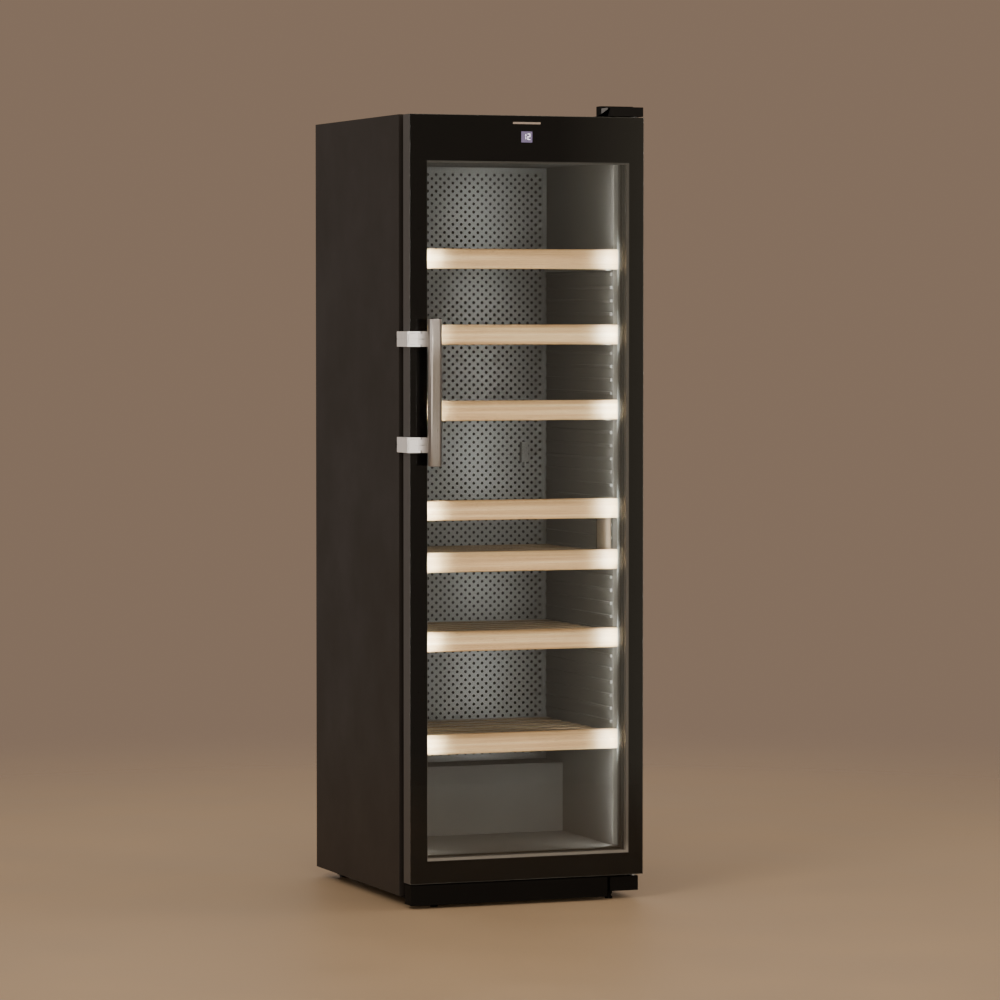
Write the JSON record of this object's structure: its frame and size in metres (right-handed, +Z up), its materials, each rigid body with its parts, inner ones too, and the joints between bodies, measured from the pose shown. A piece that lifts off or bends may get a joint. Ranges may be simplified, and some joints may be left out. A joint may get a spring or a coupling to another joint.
{
  "type": "wine cooler",
  "caption": "Tall free-standing wine cabinet with a hinged glass door, lever handle, beech shelves, lit ribbed interior and a rear machine room.",
  "frame": {"origin": "on the floor, under the middle of the object", "axes": "+X to the right seen from the front, +Y to the rear, +Z up; the glass door faces -Y"},
  "size_m": [0.609, 0.763, 1.911],
  "materials": {
    "cabinet_paint": "matte",
    "rear_sheet": "matte",
    "black_steel": "satin",
    "foam": "matte",
    "liner_plastic": "satin",
    "duct_sheet": "satin",
    "bare_aluminium": "satin",
    "black_plastic": "satin",
    "grey_plastic": "satin",
    "led_diffuser": "satin",
    "compressor_paint": "gloss",
    "steel": "satin",
    "beech": "satin",
    "front_glass": "gloss",
    "pane_glass": "gloss",
    "door_frame_paint": "satin",
    "gasket_rubber": "matte",
    "display": "gloss",
    "handle_aluminium": "satin",
    "fan_plastic": "satin",
    "roller_rubber": "matte"
  },
  "bodies": {
    "cabinet": {"side_panel_left": "cabinet_paint", "side_panel_right": "cabinet_paint", "top_panel": "cabinet_paint", "rear_panel": "rear_sheet", "base_pan": "black_steel", "insulation": "foam", "liner_left": "liner_plastic", "liner_right": "liner_plastic", "liner_ceiling": "liner_plastic", "liner_floor": "liner_plastic", "liner_rear": "black_plastic", "front_collar": "liner_plastic", "duct_panel": "duct_sheet", "evaporator": "black_steel", "fan_shroud": "black_plastic", "temperature_sensor": "grey_plastic", "led_columns": "led_diffuser", "machine_cover": "rear_sheet", "compressor": "compressor_paint", "condenser": "black_steel", "drip_tray": "black_plastic", "control_box": "black_plastic", "mains_inlet": "black_plastic", "wall_spacers": "black_plastic", "plinth_panel": "black_steel", "hinge_bracket_top": "black_steel", "hinge_bracket_bottom": "black_steel", "hinge_cover": "black_plastic", "hinge_pins": "steel", "hinge_screws": "steel", "roller_axles": "steel", "shelf_runners": "steel", "shelf_board_1": "beech", "shelf_board_2": "beech", "shelf_board_3": "beech", "shelf_board_4": "beech", "shelf_board_5": "beech", "shelf_board_6": "beech", "shelf_board_7": "beech", "shelf_racks": "beech", "display_brackets": "beech"},
    "door": {"door_glass": "front_glass", "door_profile": "door_frame_paint", "door_inner_frame": "black_plastic", "inner_panes": "pane_glass", "spacer_bars": "bare_aluminium", "gasket": "gasket_rubber", "display_module": "display", "handle_brackets": "handle_aluminium", "handle_pins": "steel"},
    "handle": {"handle_bar": "handle_aluminium", "handle_arms": "handle_aluminium"},
    "pushers": {"opening_pushers": "black_plastic"},
    "evaporator_rotor": {"evaporator_fan": "fan_plastic"},
    "condenser_rotor": {"condenser_fan": "fan_plastic"},
    "filter": {"charcoal_filter": "grey_plastic"},
    "left_foot": {"foot_left": "black_steel"},
    "right_foot": {"foot_right": "black_steel"},
    "left_roller": {"roller_left": "roller_rubber"},
    "right_roller": {"roller_right": "roller_rubber"}
  },
  "joints": [
    {"name": "door_hinge", "type": "hinge", "parent": "cabinet", "child": "door", "pos_m": [0.283, -0.303, 0.97], "axis": [0, 0, 1], "range_deg": [0, 110]},
    {"name": "handle_lever", "type": "hinge", "parent": "door", "child": "handle", "pos_m": [-0.286, -0.341, 1.227], "axis": [0, 0, -1], "range_deg": [0, 12], "stiffness_Nm_per_rad": 12},
    {"name": "pusher_slide", "type": "slide", "parent": "door", "child": "pushers", "axis": [0, 1, 0], "range_m": [0, 0.0039]},
    {"name": "evaporator_fan_spin", "type": "hinge", "parent": "cabinet", "child": "evaporator_rotor", "pos_m": [0, 0.249, 1.64], "axis": [0, 1, 0], "continuous": true},
    {"name": "condenser_fan_spin", "type": "hinge", "parent": "cabinet", "child": "condenser_rotor", "pos_m": [0.13, 0.266, 0.128], "axis": [1, 0, 0], "continuous": true},
    {"name": "filter_turn", "type": "hinge", "parent": "cabinet", "child": "filter", "pos_m": [0.15, 0.231, 0.345], "axis": [0, -1, 0], "range_deg": [0, 90]},
    {"name": "foot_left_turn", "type": "hinge", "parent": "cabinet", "child": "left_foot", "pos_m": [-0.225, -0.29, 0.02], "axis": [0, 0, 1], "continuous": true},
    {"name": "foot_right_turn", "type": "hinge", "parent": "cabinet", "child": "right_foot", "pos_m": [0.225, -0.29, 0.02], "axis": [0, 0, 1], "continuous": true},
    {"name": "roller_left_spin", "type": "hinge", "parent": "cabinet", "child": "left_roller", "pos_m": [-0.241, 0.32, 0.017], "axis": [1, 0, 0], "continuous": true},
    {"name": "roller_right_spin", "type": "hinge", "parent": "cabinet", "child": "right_roller", "pos_m": [0.241, 0.32, 0.017], "axis": [1, 0, 0], "continuous": true}
  ],
  "couplings": [
    {"joint": "pusher_slide", "follows": "handle_lever", "m_per_rad": 0.0185}
  ]
}
